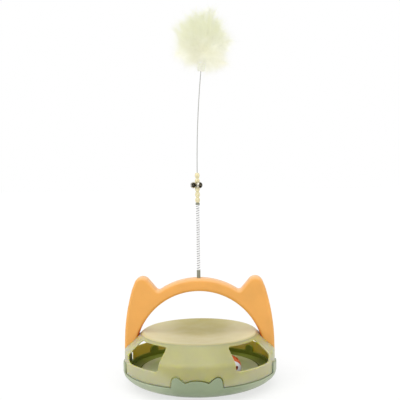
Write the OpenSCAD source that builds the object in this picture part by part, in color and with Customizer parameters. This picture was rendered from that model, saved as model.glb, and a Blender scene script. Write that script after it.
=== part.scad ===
// Cat teaser toy: a round drum with paw windows, a spinning floor and a loose rattle ball,
// a cat-ear carrying handle, and a feather plume on a wire and coil spring.
// Millimetres, +Z up, front towards -Y, origin on the table under the middle of the base.

/* [Base bowl] */
// Radius of the base at its rim
base_r = 121; // [115:1:127]
// Height of the base from its flat bottom to its rim
base_h = 23.5; // [22:0.5:26]
// Width of the bowl's curve, from its edge to its flat bottom
bowl_run = 57; // [52:1:61]
// Wall of the base bowl
base_wall = 3; // [2.5:0.25:3.5]
// How far the rubber feet stand proud of the bottom
foot_proud = 1.5; // [1:0.25:2.5]
// Radius of a rubber foot
foot_r = 8; // [6:0.5:10]
// Distance of the feet from the base's edge
foot_in = 60; // [58:1:66]

/* [Cat-head tabs] */
// Half width of a tab at its foot
tab_half_w = 38.5; // [34:0.5:42]
// Height of the tab's ears over the rim
tab_ear_h = 15; // [13.5:0.5:16.5]
// Distance of the tab's ears from its middle
tab_ear_x = 30.5; // [29:0.5:31.5]
// Height of the tab's brow over the rim
tab_brow_h = 11.5; // [10.5:0.5:12.5]
// Groove left round a tab
tab_groove = 0.7; // [0.4:0.1:1]

/* [Track ring] */
// Depth of the ring's floor under the rim
floor_drop = 3; // [2:0.25:4]
// Thickness of the ring's floor
ring_t = 3; // [2:0.25:3.5]
// Height of the ring's lip over the rim
lip_h = 3; // [2:0.25:5]
// Width of a clip tongue
clip_w = 16; // [12:0.5:20]
// Height of a clip tongue over the rim
clip_h = 13.5; // [11:0.5:15]
// Width of the ring's floor
ring_floor_w = 17; // [15:0.5:19]
// Distance of the ring's screws from its inner edge
ring_screw_in = 6.5; // [6:0.5:8]

/* [Turntable] */
// Thickness of the spinning floor
table_t = 2.4; // [1.8:0.2:2.6]
// How far the spinning floor stands over the ring's floor
table_proud = 1; // [0.5:0.25:1.5]
// Radius of the spindle
spindle_r = 3; // [2.5:0.25:4]
// Length of the turntable's hub
hub_h = 5; // [4:0.5:6]

/* [Ball] */
// Radius of the ball
ball_r = 19; // [16:0.5:20]
// Wall of the ball
ball_wall = 1.6; // [1.2:0.1:2]
// Gap between the ball and the ring's lip
ball_side_gap = 11.5; // [9:0.5:15]
// Where the ball lies, in degrees from the front towards the right
ball_angle = 34; // [30:1:60]
// Lean of the ball's orange half towards the back
ball_tilt = 50; // [0:5:80]
// Number of slots in each half of the ball
ball_slots = 6; // [4:1:6]

/* [Cover] */
// How far the cover's wall stands inside the base rim
cover_step = 2.5; // [2:0.25:3]
// Wall of the cover
cover_wall = 2.5; // [2:0.25:3]
// Height of the cover's upright wall over the rim
wall_h = 32.5; // [30:0.5:37]
// Height of the cover's sloping shoulder
shoulder_h = 24; // [21:0.5:28]
// How far the shoulder leans in, up to the dish
shoulder_run = 27.5; // [25:0.5:30]
// Half width of a paw window
window_half_w = 38; // [33:0.5:39]
// Angle of a paw window from the front or the back
window_angle = 47.25; // [46:0.25:48]
// Height of a window's sill over the rim
window_sill_h = 20.5; // [18:0.5:22]
// Distance of a window's top under the dish's rim
window_top_drop = 3.5; // [3:0.25:6]

/* [Dish] */
// Depth of the dish
dish_depth = 5; // [4.5:0.25:8]
// Wall of the dish
dish_wall = 2.4; // [2:0.2:3]
// Height of the dish's rim over the shoulder
dish_rim_h = 1.6; // [1.4:0.1:2.4]

/* [Handle] */
// Depth of the handle from front to back
handle_depth = 24; // [20:1:28]
// Outer radius of the arch
arch_r = 112; // [106:1:118]
// Height of the arch's top over the rim
arch_top_h = 142; // [138:1:148]
// Height of the arch's bar at its middle
arch_bar_h = 20; // [18.5:0.5:24]
// How far the ellipse that bounds the hand opening stays inside the legs' outer edges
grip_in = 16; // [13:0.5:19]
// Half height of the ellipse that bounds the hand opening
grip_half_h = 105; // [98:1:112]
// Distance of an ear from the legs' outer edges
ear_in = 29; // [28:0.5:31]
// Radius of an ear's tip
ear_r = 12.5; // [10:0.5:13.5]
// Height of an ear over the arch's top
ear_h = 2.5; // [1:0.5:6]
// Rounding of the handle's edges
handle_round = 5; // [3:0.5:6]
// Wall of the handle's shells
handle_wall = 2.6; // [2.2:0.1:3]

/* [Teaser] */
// Radius of the spring's foot above the handle
ferrule_r = 2.9; // [2.8:0.1:3.5]
// Height of the spring's foot above the handle
ferrule_h = 12; // [8:0.5:15]
// Radius of the stem that turns in the handle
stem_r = 2.5; // [2:0.1:2.6]
// Mean radius of the spring
spring_r = 2.4; // [2.2:0.1:2.6]
// Thickness of the spring's wire
spring_wire = 0.8; // [0.6:0.1:1]
// Distance from one curl of the spring to the next
spring_pitch = 3.75; // [3:0.25:4.5]
// Number of curls in the spring
spring_turns = 27; // [20:1:32]
// Radius of the teaser's wire
wire_r = 0.7; // [0.5:0.05:0.9]
// Length of the teaser's wire above the beads
wire_free = 157; // [120:1:180]
// How far the teaser's wire bows to the right at its top
wire_bow = 8; // [4:1:16]
// Length of a bead
bead_h = 8.7; // [8:0.1:11]
// Radius of a bead
bead_r = 3.9; // [3.2:0.1:4.4]
// Length of wire between the beads for the bells
bell_gap = 3.7; // [3.5:0.1:6]
// Radius of a bell
bell_r = 4.8; // [4:0.1:4.8]
// Radius of the plume's cap
cap_r = 6.2; // [5:0.2:8]
// Length of the plume's cap
cap_h = 12; // [9:0.5:15]
// Radius of the plume
plume_r = 42; // [34:1:48]
// Length of the plume over its cap
plume_h = 84; // [70:1:110]
// Height of the plume's widest place over its cap
plume_wide_h = 30; // [24:1:42]

/* [Hidden] */
$fn = 96;

// Colours
sage = [0.62, 0.68, 0.56];
khaki = [0.74, 0.73, 0.53];
orange = [0.94, 0.69, 0.40];
red_orange = [0.86, 0.33, 0.12];
ivory = [0.90, 0.87, 0.70];
white = [0.88, 0.86, 0.86];
steel = [0.62, 0.63, 0.62];
rubber = [0.35, 0.37, 0.34];

// Clearances
run_gap = 0.03;
slip_gap = 0.2;
free_gap = 0.3;
seat_gap = 0.1;
// Steps in a rounded corner, and depth that a cutter runs past what it cuts
corner_steps = 6;
past = 1;

// Heights that the pieces share
bottom_z = foot_proud;
rim_z = bottom_z + base_h;
flat_r = base_r - bowl_run;
bowl_steps = 16;
floor_z = rim_z - floor_drop;
table_z = floor_z + table_proud;
cover_r = base_r - cover_step;
cover_in_r = cover_r - cover_wall;
shoulder_top_r = cover_r - shoulder_run;
part_gap = 0.4;
shoulder_z = rim_z + wall_h;
seat_z = shoulder_z + shoulder_h;
slope = shoulder_h / shoulder_run;

// Cat-head tabs
tab_notch_in = 13;
tab_notch_drop = 4;
tab_tip_over = 5.7;
tab_tip_out = 4.8;
tab_tip_round = 6.5;
tab_notch_round = 2;

// Feet, track ring and screws
foot_pitch_r = base_r - foot_in;
foot_sunk = 1.2;
foot_round = 0.8;
lip_r = cover_in_r - free_gap;
lip_t = 3.2;
ring_in_r = lip_r - lip_t - ring_floor_w;
ring_screw_r = ring_in_r + ring_screw_in;
clip_round = 7;
clip_nub_r = 2;
clip_nub_out = 0.6;
clip_nub_h = clip_h - 4.5;
pillar_r = 4.5;
screw_r = 1.5;
screw_head_r = 3;
screw_head_h = 2.2;
screw_tip = 2;
screw_sunk = 1;
screw_floor = 2.5;
base_screw_seat_z = bowl_z(ring_screw_r + screw_head_r) + screw_head_h + free_gap;
ring_foot_z = base_screw_seat_z + screw_floor;

// Turntable and its bearing
table_rim_gap = 2;
table_r = ring_in_r - table_rim_gap;
washer_t = 0.8;
bearing_gap = 0.2;
hub_r = 9;
table_ribs = 8;
rib_t = 2;
rib_end_gap = 8;
table_round = 1;
hub_z = table_z - hub_h;
boss_z = hub_z - washer_t - 2 * bearing_gap;
boss_r = 8;
spindle_sunk = 9;
spindle_cap_h = 4;
spindle_cap_r = 9;
spindle_cap_edge = 0.8;

// Ball
ball_path_r = lip_r - lip_t - ball_side_gap - ball_r;
ball_place = [ball_path_r * sin(ball_angle), -ball_path_r * cos(ball_angle), table_z + free_gap + ball_r];
slot_w = 5.5;
slot_l = 11;
slot_lat = 34;
rattle_r = 4;

// Cover and dish
shoulder_round = 8;
dish_lip_t = 2;
dish_lip_h = 5;
dish_seat_w = 2.6;
dish_roll = 1;
dish_rim_round = 4;
dish_blend = 9;
dish_draft = 0.3;
dish_in_r = shoulder_top_r - dish_seat_w;
window_round = 6;
window_lean = 0.35;

// Handle
half_depth = handle_depth / 2;
arch_top_z = rim_z + arch_top_h;
arch_z = arch_top_z - arch_r;
grip_top_z = arch_top_z - arch_bar_h;
grip_z = grip_top_z - grip_half_h;
ear_z = arch_top_z + ear_h - ear_r;
leg_x = cover_r - 0.5;
ear_x = leg_x - ear_in;
grip_half_w = leg_x - grip_in;
leg_z = shoulder_z + 5;
leg_steps = 8;
leg_bow = 300;
notch_round = 5;
flank = 140;
blend_a = 6;
tongue_x = cover_r - 18.5;
tongue_w = 10;
tongue_half_t = 4;
tongue_drop = 12;
leg_boss_z = seat_z + 8.5;
leg_boss_out = 1;
leg_boss_r = 4.2;
socket_half_w = 8;

// Swivel and spring
bush_r = 4.5;
bush_cap = 2;
bush_room = 4;
bush_h = arch_bar_h - bush_cap - handle_wall - bush_room;
clip_ring_t = 0.7;
stem_groove = 0.5;
bush_top_z = arch_top_z - bush_cap;
bush_z = bush_top_z - bush_h;
clip_ring_z = bush_z - 2 * clip_ring_t;
stem_foot_z = clip_ring_z - clip_ring_t;
socket_z = stem_foot_z - 2 * free_gap;
ferrule_z = arch_top_z + part_gap;
spring_z = ferrule_z + ferrule_h;
spring_top_z = spring_z + spring_turns * spring_pitch + 2 * spring_wire;
spring_steps = 8;
spring_sides = 6;
chamfer = 0.4;

// Wand
bead_neck_r = 2;
bead_bore_gap = 0.05;
spring_cap_r = 3.3;
spring_cap_h = 3.2;
wire_seat = 1;
bead_z = spring_top_z + spring_cap_h;
bell_z = bead_z + 3 * bead_h + bell_gap / 2;
bend_z = bead_z + 5 * bead_h + bell_gap;
bend_r = (wire_free * wire_free + wire_bow * wire_bow) / (2 * wire_bow);
lean = asin(wire_free / bend_r);
wire_in_cap = 6;
wire_sides = 10;
bell_wall = 0.5;
bell_band = 0.35;
bell_band_a = 6;
bell_slot = 1;
bell_slot_from = 1;
eye_wire_r = 0.5;
eye_r = 1.7;
eye_lift = 0.9;
bell_arm = eye_r + eye_wire_r + bell_r;
bell_left_angle = 210;
bell_right_angle = 300;
pellet_r = 1.5;
cap_taper = 0.6;
cap_round = 2;
plume_neck_r = 5;
plume_blunt = 0.6;
plume_crown = 0.85;

// Point at an angle on a circle
function on_circle(c, r, a) = c + r * [cos(a), sin(a)];

// Points of an arc in the plane
function arc(c, r, a0, a1, n) = [for (k = [0:n]) on_circle(c, r, a0 + (a1 - a0) * k / n)];

function unit(v) = v / norm(v);

// Angle brought between -180 and 180 degrees
function turn(a) = a > 180 ? a - 360 : a <= -180 ? a + 360 : a;

// Arc of radius r that rounds the corner a, b, c
function corner(a, b, c, r, n = corner_steps) =
    let (u = unit(a - b), v = unit(c - b), half = acos(u * v) / 2,
        o = b + unit(u + v) * r / sin(half),
        p = b + u * r / tan(half) - o,
        q = b + v * r / tan(half) - o,
        start = atan2(p[1], p[0]))
    arc(o, r, start, start + turn(atan2(q[1], q[0]) - start), n);

// Closed outline with each corner rounded by its own radius, 0 for a sharp one
function rounded(pts, radii) =
    let (m = len(pts))
    [for (i = [0:m - 1])
        each radii[i] == 0 ? [pts[i]] : corner(pts[(i + m - 1) % m], pts[i], pts[(i + 1) % m], radii[i])];

function left_normal(a, b) = let (t = unit(b - a)) [-t[1], t[0]];

// Point b moved by d to the left of the path a, b, c
function shifted(a, b, c, d) =
    let (p = left_normal(a, b), q = left_normal(b, c)) b + d * (p + q) / (1 + p * q);

// Anticlockwise outline moved inwards by d
function inset(pts, d) =
    let (m = len(pts))
    [for (i = [0:m - 1]) shifted(pts[(i + m - 1) % m], pts[i], pts[(i + 1) % m], d)];

function mirrored(pts) = [for (i = [len(pts) - 1:-1:0]) [-pts[i][0], pts[i][1]]];

function reversed(pts) = [for (i = [len(pts) - 1:-1:0]) pts[i]];

// Faces that close a ring of m points. A band's ring runs up one edge and back down the other.
function ring_faces(m, band) =
    !band ? [[for (i = [0:m - 1]) i]]
    : [for (i = [0:m / 2 - 2]) each [[i, i + 1, m - 2 - i], [i, m - 2 - i, m - 1 - i]]];

// Closed solid through rings of points, which run anticlockwise seen from its far end
module loft(rings, band = false) {
    m = len(rings[0]);
    last = (len(rings) - 1) * m;
    ends = ring_faces(m, band);
    polyhedron(
        points = [for (ring = rings) each ring],
        faces = concat(
            ends,
            [for (face = ends) [for (i = reversed(face)) last + i]],
            [for (k = [0:m:last - m], i = [0:m - 1])
                each let (a = k + i, b = k + (i + 1) % m) [[a, a + m, b], [b, a + m, b + m]]]));
}

// Plane outline pushed outwards from the axis, from r0 to r1, at an angle round the axis
module radial_prism(pts, r0, r1, angle) {
    rotate([0, 0, angle])
        translate([0, -r0, 0])
            rotate([90, 0, 0])
                linear_extrude(r1 - r0)
                    polygon(pts);
}

module ring(r0, r1, z0, z1) {
    translate([0, 0, z0])
        difference() {
            cylinder(r = r1, h = z1 - z0);
            translate([0, 0, -past])
                cylinder(r = r0, h = z1 - z0 + 2 * past);
        }
}

module post(r, z0, z1) {
    translate([0, 0, z0])
        cylinder(r = r, h = z1 - z0);
}

// Repeats its children at the quarter turns between the front and the sides
module quarters() {
    for (k = [0:3])
        rotate([0, 0, 45 + 90 * k])
            children();
}

// Pan-head screw along +Z, with its head's bearing face at z = 0
module screw(shank) {
    translate([0, 0, -screw_head_h])
        cylinder(r = screw_head_r, h = screw_head_h);
    cylinder(r = screw_r, h = shank);
}

// Cat-head outline of a tab, standing on the rim
function tab_outline() =
    let (notch = [tab_ear_x - tab_notch_in, rim_z + tab_brow_h - tab_notch_drop],
        brow_r = (notch[0] * notch[0] + tab_notch_drop * tab_notch_drop) / (2 * tab_notch_drop),
        brow_o = [0, rim_z + tab_brow_h - brow_r],
        brow_a = acos(notch[0] / brow_r),
        foot = [tab_half_w, rim_z],
        tip = [tab_ear_x + tab_tip_out, rim_z + tab_ear_h + tab_tip_over],
        side = concat(
            [foot],
            corner(foot, tip, notch, tab_tip_round),
            corner(tip, notch, on_circle(brow_o, brow_r, brow_a + blend_a), tab_notch_round)))
    concat(side, arc(brow_o, brow_r, brow_a + blend_a, 180 - brow_a - blend_a, 8), mirrored(side));

// Height of the bowl's underside at a radius outside its flat bottom
function bowl_z(r) = rim_z - base_h * sqrt(1 - pow((r - flat_r) / bowl_run, 2));

// Curve of the bowl from its flat bottom to its rim, d inside its outer face
function bowl_curve(d) =
    [for (k = [0:bowl_steps])
        let (a = 90 * k / bowl_steps) [flat_r + (bowl_run - d) * sin(a), rim_z - (base_h - d) * cos(a)]];

module base_bowl() {
    color(sage) {
        difference() {
            union() {
                rotate_extrude()
                    polygon(concat([[0, bottom_z]], bowl_curve(0), reversed(bowl_curve(base_wall)),
                        [[0, bottom_z + base_wall]]));
                post(boss_r, bottom_z + base_wall / 2, boss_z);
                intersection() {
                    quarters()
                        translate([ring_screw_r, 0, 0])
                            post(pillar_r, bottom_z, ring_foot_z);
                    rotate_extrude()
                        polygon(concat([[0, bottom_z]], bowl_curve(0), [[0, rim_z]]));
                }
            }
            post(spindle_r, boss_z - spindle_sunk, boss_z + past);
            quarters()
                translate([foot_pitch_r, 0, 0])
                    post(foot_r + seat_gap, 0, bottom_z + foot_sunk);
            quarters()
                translate([ring_screw_r, 0, 0]) {
                    post(screw_r + slip_gap, 0, ring_foot_z + past);
                    post(screw_head_r + slip_gap, 0, base_screw_seat_z);
                }
        }
        for (k = [0:3])
            intersection() {
                ring(cover_in_r + slip_gap, base_r, rim_z, rim_z + 2 * tab_ear_h);
                radial_prism(tab_outline(), flat_r, base_r + past, 90 * k);
            }
    }
}

module rubber_feet() {
    color(rubber)
        quarters()
            translate([foot_pitch_r, 0, 0])
                rotate_extrude()
                    polygon(concat(
                        [[0, 0]],
                        corner([0, 0], [foot_r, 0], [foot_r, bottom_z + foot_sunk], foot_round),
                        [[foot_r, bottom_z + foot_sunk], [0, bottom_z + foot_sunk]]));
}

module base_screws() {
    color(steel)
        quarters()
            translate([ring_screw_r, 0, base_screw_seat_z])
                screw(floor_z - screw_tip - base_screw_seat_z);
}

// Rounded tongue that stands up inside the cover's wall
function clip_outline() =
    rounded([[-clip_w / 2, floor_z], [clip_w / 2, floor_z], [clip_w / 2, rim_z + clip_h],
        [-clip_w / 2, rim_z + clip_h]], [0, 0, clip_round, clip_round]);

module track_ring() {
    color(sage)
        difference() {
            union() {
                rotate_extrude()
                    polygon([[ring_in_r, floor_z - ring_t], [lip_r, floor_z - ring_t],
                        [lip_r, rim_z + lip_h], [lip_r - lip_t, rim_z + lip_h],
                        [lip_r - lip_t, floor_z], [ring_in_r, floor_z]]);
                for (k = [0:3])
                    intersection() {
                        ring(lip_r - lip_t, lip_r, floor_z, rim_z + clip_h + past);
                        radial_prism(clip_outline(), flat_r, base_r, 45 + 90 * k);
                    }
                quarters() {
                    translate([ring_screw_r, 0, 0])
                        post(pillar_r, ring_foot_z, floor_z - ring_t / 2);
                    translate([lip_r - lip_t / 2, 0, rim_z + clip_nub_h])
                        rotate([0, 90, 0])
                            cylinder(r = clip_nub_r, h = lip_t / 2 + clip_nub_out);
                }
            }
            quarters()
                translate([ring_screw_r, 0, 0])
                    post(screw_r + seat_gap, ring_foot_z - past, floor_z - screw_tip + seat_gap);
        }
}

module spindle_pin() {
    color(steel)
        post(spindle_r, boss_z - spindle_sunk, table_z + spindle_cap_h / 2);
}

module thrust_washer() {
    color(white)
        ring(spindle_r + slip_gap, boss_r, boss_z, boss_z + washer_t);
}

module turntable() {
    under_z = table_z - table_t;
    color(sage)
        difference() {
            union() {
                rotate_extrude()
                    polygon(concat(
                        [[0, under_z]],
                        corner([0, under_z], [table_r, under_z], [table_r, table_z], table_round / 2, 3),
                        corner([table_r, under_z], [table_r, table_z], [0, table_z], table_round, 4),
                        [[0, table_z]]));
                post(hub_r, hub_z, table_z - table_t / 2);
                for (k = [0:table_ribs - 1])
                    rotate([0, 0, 360 / table_ribs * (k + 0.5)])
                        translate([hub_r - past, -rib_t / 2, under_z - rib_t])
                            cube([table_r - hub_r - rib_end_gap, rib_t, rib_t + table_t / 2]);
            }
            post(spindle_r + run_gap, hub_z - past, table_z + past);
        }
}

module spindle_cap() {
    foot_z = table_z + bearing_gap;
    color(sage)
        difference() {
            rotate_extrude()
                polygon(concat(
                    [[0, foot_z], [spindle_cap_r, foot_z]],
                    corner([spindle_cap_r, foot_z], [spindle_cap_r, foot_z + spindle_cap_h],
                        [0, foot_z + spindle_cap_h], spindle_cap_h - spindle_cap_edge),
                    [[0, foot_z + spindle_cap_h]]));
            post(spindle_r, foot_z - past, table_z + spindle_cap_h / 2);
        }
}

// Half of the hollow ball, its pole along +Z, with oval slots round it
module ball_half() {
    x = slot_w / 2;
    y = slot_l / 2;
    slot = rounded([[-x, -y], [x, -y], [x, y], [-x, y]], [for (i = [0:3]) x - seat_gap]);
    difference() {
        sphere(r = ball_r);
        sphere(r = ball_r - ball_wall);
        translate([-2 * ball_r, -2 * ball_r, -4 * ball_r])
            cube(4 * ball_r);
        for (k = [0:ball_slots - 1])
            rotate([0, -slot_lat, 360 / ball_slots * k])
                rotate([90, 0, 90])
                    linear_extrude(2 * ball_r)
                        polygon(slot);
    }
}

module at_ball() {
    translate(ball_place)
        rotate([-ball_tilt, 0, 0])
            children();
}

module ball_orange_half() {
    color(red_orange)
        at_ball()
            ball_half();
}

module ball_white_half() {
    color(white)
        at_ball()
            rotate([180, 0, 0])
                ball_half();
}

module ball_rattle() {
    color(steel)
        translate(ball_place - [0, 0, ball_r - ball_wall - rattle_r - seat_gap])
            sphere(r = rattle_r);
}

// Height of the shoulder's outside at a radius
function shoulder_at(r) = shoulder_z + (cover_r - r) * slope;

// Path up the cover's wall and shoulder, d inside its outer face
function cover_path(d) =
    let (a = [cover_r, rim_z + part_gap], b = [cover_r, shoulder_z], c = [shoulder_top_r, seat_z],
        e = [dish_in_r, shoulder_at(dish_in_r)],
        foot = a - [d, 0], knee = shifted(a, b, c, d),
        top = (d == 0) ? c : e - [0, d * sqrt(1 + slope * slope)])
    concat([foot], corner(foot, knee, top, shoulder_round - d, 8), [top]);

function window_outline() =
    let (sill = rim_z + window_sill_h, head = seat_z - window_top_drop,
        head_half_w = window_half_w - (head - shoulder_z) * window_lean)
    rounded([[-window_half_w, sill], [window_half_w, sill], [window_half_w, shoulder_z], [head_half_w, head],
        [-head_half_w, head], [-window_half_w, shoulder_z]],
        [for (i = [0:5]) window_round]);

module cover_shell() {
    color(khaki)
        difference() {
            rotate_extrude()
                polygon(concat(cover_path(0), [[dish_in_r, seat_z]], reversed(cover_path(cover_wall))));
            for (a = [window_angle, 180 - window_angle, 180 + window_angle, 360 - window_angle])
                radial_prism(window_outline(), flat_r / 2, base_r + past, a);
            for (k = [0:3])
                radial_prism(inset(tab_outline(), -tab_groove), flat_r, base_r + past, 90 * k);
            quarters()
                translate([cover_in_r - past, 0, rim_z + clip_nub_h])
                    rotate([0, 90, 0])
                        cylinder(r = clip_nub_r + slip_gap, h = past + clip_nub_out + slip_gap);
            for (side = [-1, 1])
                translate([side * (tongue_x + tongue_w / 2), 0, shoulder_z])
                    cube([tongue_w + 2 * slip_gap, 2 * (tongue_half_t + slip_gap), 4 * shoulder_h],
                        center = true);
        }
}

module top_dish() {
    bowl_r = dish_in_r - dish_lip_t - slip_gap;
    rim_top = seat_z + dish_rim_h;
    bowl_top = rim_top - dish_roll;
    fall = dish_depth - dish_roll;
    cap_r1 = (bowl_r * bowl_r + fall * fall) / (2 * fall);
    cap_o = [0, bowl_top - fall + cap_r1];
    under_a = asin((bowl_r - dish_draft) / (cap_r1 + dish_wall));
    rim_edge = [shoulder_top_r - dish_rim_h / slope, rim_top];
    edge_a = asin((bowl_r - dish_blend) / cap_r1);
    bowl_edge = on_circle(cap_o, cap_r1, edge_a - 90);
    color(khaki)
        rotate_extrude()
            polygon(concat(
                arc(cap_o, cap_r1 + dish_wall, -90, under_a - 90, 12),
                [[bowl_r - dish_draft, seat_z - dish_lip_h], [bowl_r + dish_lip_t, seat_z - dish_lip_h],
                    [bowl_r + dish_lip_t, seat_z], [shoulder_top_r, seat_z]],
                corner([shoulder_top_r, seat_z], rim_edge, bowl_edge, dish_rim_round),
                reversed(arc(cap_o, cap_r1, -90, edge_a - 90, 12))));
}

// Outer edge of a handle leg at a height
function leg_edge(z) = leg_x - (z - leg_z) * (z - leg_z) / (2 * leg_bow);

// Height of the handle's seat on the shoulder at a distance from the middle, let down by drop
function seat_at(x, drop) = shoulder_at(x) + seat_gap - drop;

// Point of the hand opening's ellipse, and the angle that belongs to a point
function on_grip(a) = [grip_half_w * cos(a), grip_z + grip_half_h * sin(a)];
function grip_angle(p) = atan2((p[1] - grip_z) / grip_half_h, p[0] / grip_half_w);

// Where the handle's inner arch meets its seat
function inner_foot(drop = 0) =
    let (rise = seat_at(0, drop) - grip_z, stretch = grip_half_h / grip_half_w,
        square = stretch * stretch + slope * slope,
        root = sqrt(slope * slope * rise * rise - square * (rise * rise - grip_half_h * grip_half_h)),
        x = (slope * rise + root) / square)
    [x, seat_at(x, drop)];

// Anticlockwise outline of the cat-ear handle seen from the front: its outer edge, then its inner arch,
// which has a point for each point of the outer edge
function handle_outline(drop) =
    let (ear = [ear_x, ear_z], foot_z = seat_at(leg_x, drop), inner = inner_foot(drop),
        out_a = atan((ear_z - leg_z) / leg_bow),
        flank_top = on_circle(ear, ear_r, flank),
        arch_o = [0, arch_z],
        steep = tan(flank - 90),
        line = flank_top[1] - steep * flank_top[0] - arch_z,
        square = 1 + steep * steep,
        notch_x = (sqrt(square * arch_r * arch_r - line * line) - steep * line) / square,
        notch = [notch_x, steep * notch_x + line + arch_z],
        notch_a = acos(notch_x / arch_r),
        side = concat(
            [[leg_x, foot_z]],
            [for (k = [1:leg_steps])
                let (z = foot_z + (ear_z - foot_z) * k / (leg_steps + 0.5)) [leg_edge(z), z]],
            arc(ear, ear_r, out_a + blend_a, flank, 10),
            corner(flank_top, notch, on_circle(arch_o, arch_r, notch_a + blend_a), notch_round, 5)),
        outer = concat(side, arc(arch_o, arch_r, notch_a + blend_a, 180 - notch_a - blend_a, 18),
            mirrored(side)),
        foot_a = grip_angle([leg_x, foot_z]),
        squeeze = (90 - grip_angle(inner)) / (90 - foot_a))
    concat(outer,
        [for (p = reversed(outer))
            on_grip(90 + (grip_angle(p) - 90) * squeeze)]);

// Ring of the handle at a depth in front of its parting face, d inside its outline
function handle_ring(d, depth, drop = 0) = [for (p = inset(handle_outline(drop), d)) [p[0], -depth, p[1]]];

// Places of the handle's screws, one in each ear and each leg
screw_places = [for (side = [-1, 1])
    each [[side * ear_x, ear_z], [side * ((leg_x + inner_foot()[0]) / 2 + leg_boss_out), leg_boss_z]]];

// Turns a cylinder to run from front to back at a place on the handle
module across(place, y) {
    translate([place[0], y, place[1]])
        rotate([90, 0, 0])
            children();
}

// Front half of the hollow handle, before its screw holes. Its feet follow the cover.
module handle_half() {
    steps = 4;
    drop = handle_round * sqrt(1 + slope * slope);
    hollow = [handle_ring(handle_wall, half_depth - handle_wall), handle_ring(handle_wall, 0)];
    skin = concat(
        [handle_ring(0, 0, drop)],
        [for (k = [0:steps])
            handle_ring(handle_round * (1 - cos(90 * k / steps)),
                half_depth - handle_round * (1 - sin(90 * k / steps)), drop)]);
    difference() {
        union() {
            loft(concat(hollow, skin), band = true);
            for (place = screw_places)
                across(place, -seat_gap)
                    cylinder(r = leg_boss_r, h = half_depth - handle_wall / 2);
            translate([-socket_half_w, handle_wall / 2 + past - half_depth, grip_top_z + handle_wall / 2])
                cube([2 * socket_half_w, half_depth - handle_wall / 2 - past - seat_gap,
                    arch_bar_h - handle_wall]);
        }
        post(bush_r + seat_gap / 2, socket_z, bush_top_z);
        post(stem_r + slip_gap, bush_top_z - past, arch_top_z + past);
        rotate_extrude()
            polygon(concat([[0, rim_z]], cover_path(-seat_gap), [[0, seat_z]]));
    }
    for (side = [-1, 1])
        translate([side * (tongue_x + tongue_w / 2) - tongue_w / 2, -tongue_half_t, 0])
            tongue();
}

// Half of the tongue under a leg that passes through the shoulder
module tongue() {
    foot_z = shoulder_at(tongue_x + tongue_w) - tongue_drop;
    translate([0, 0, foot_z])
        cube([tongue_w, tongue_half_t - seat_gap, shoulder_at(tongue_x) + handle_wall - foot_z]);
}

module handle_front() {
    color(orange)
        difference() {
            handle_half();
            for (place = screw_places)
                across(place, past)
                    cylinder(r = screw_r + seat_gap, h = past + half_depth - 2 * handle_wall);
        }
}

module handle_rear() {
    color(orange)
        difference() {
            mirror([0, 1, 0])
                handle_half();
            for (place = screw_places) {
                across(place, half_depth + past)
                    cylinder(r = screw_r + slip_gap, h = half_depth + 2 * past);
                across(place, half_depth + past)
                    cylinder(r = screw_head_r + slip_gap, h = past + screw_head_h + screw_sunk);
            }
        }
}

module handle_screws() {
    color(steel)
        for (place = screw_places)
            across(place, half_depth - screw_head_h - screw_sunk)
                screw(2 * (half_depth - handle_wall) - screw_head_h - screw_sunk - screw_tip);
}

module swivel_bush() {
    color(white)
        ring(stem_r + run_gap, bush_r, bush_z, bush_top_z);
}

module spring_ferrule() {
    color(steel)
        rotate_extrude()
            polygon([[0, stem_foot_z], [stem_r, stem_foot_z], [stem_r, clip_ring_z],
                [stem_r - stem_groove, clip_ring_z], [stem_r - stem_groove, clip_ring_z + clip_ring_t],
                [stem_r, clip_ring_z + clip_ring_t], [stem_r, ferrule_z], [ferrule_r, ferrule_z],
                [ferrule_r, spring_z - chamfer], [ferrule_r - chamfer, spring_z], [0, spring_z]]);
}

module retaining_clip() {
    color(steel)
        difference() {
            ring(stem_r - stem_groove + run_gap, bush_r - 2 * slip_gap, clip_ring_z + run_gap,
                clip_ring_z + clip_ring_t - run_gap);
            translate([0, -stem_r / 2, clip_ring_z - past])
                cube([2 * bush_r, stem_r, clip_ring_t + 2 * past]);
        }
}

// Middle line of the spring, with a straight end on its foot and one under its cap
function spring_path() =
    let (n = spring_turns * spring_steps)
    concat(
        [[spring_r, 0, spring_z]],
        [for (k = [0:n])
            let (a = 360 / spring_steps * k, rise = spring_pitch * k / spring_steps)
            [spring_r * cos(a), spring_r * sin(a), spring_z + spring_wire + rise]],
        [[spring_r, 0, spring_top_z]]);

// Ring of a tube at point i of its path, started from the side away from the Z axis
function tube_ring(path, i, r, sides) =
    let (t = unit(path[min(i + 1, len(path) - 1)] - path[max(i - 1, 0)]),
        out = unit([path[i][0], path[i][1], 0]),
        u = unit(out - (out * t) * t),
        v = cross(t, u))
    [for (k = [0:sides - 1]) path[i] + r * (cos(360 * k / sides) * u + sin(360 * k / sides) * v)];

// Least gap between the surfaces of turns that lie half a turn or more apart
function least_gap(path) =
    let (last = len(path) - 1)
    min([for (i = [0:last], j = [i + spring_steps / 2:1:last]) norm(path[i] - path[j])]) - spring_wire;

module spring() {
    path = spring_path();
    echo(str("Least gap between the spring's curls: ", least_gap(path), " mm"));
    color(steel)
        loft([for (i = [0:len(path) - 1]) tube_ring(path, i, spring_wire / 2, spring_sides)]);
}

module spring_cap() {
    color(steel)
        difference() {
            rotate_extrude()
                polygon([[0, spring_top_z], [spring_cap_r, spring_top_z], [spring_cap_r, bead_z - chamfer],
                    [spring_cap_r - chamfer, bead_z], [0, bead_z]]);
            post(wire_r + bead_bore_gap, spring_top_z + wire_seat, bead_z + past);
        }
}

// Places its children at the top of the wire, along its lean
module at_wire_top() {
    translate([wire_bow, 0, bend_z + wire_free])
        rotate([0, lean, 0])
            children();
}

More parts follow.
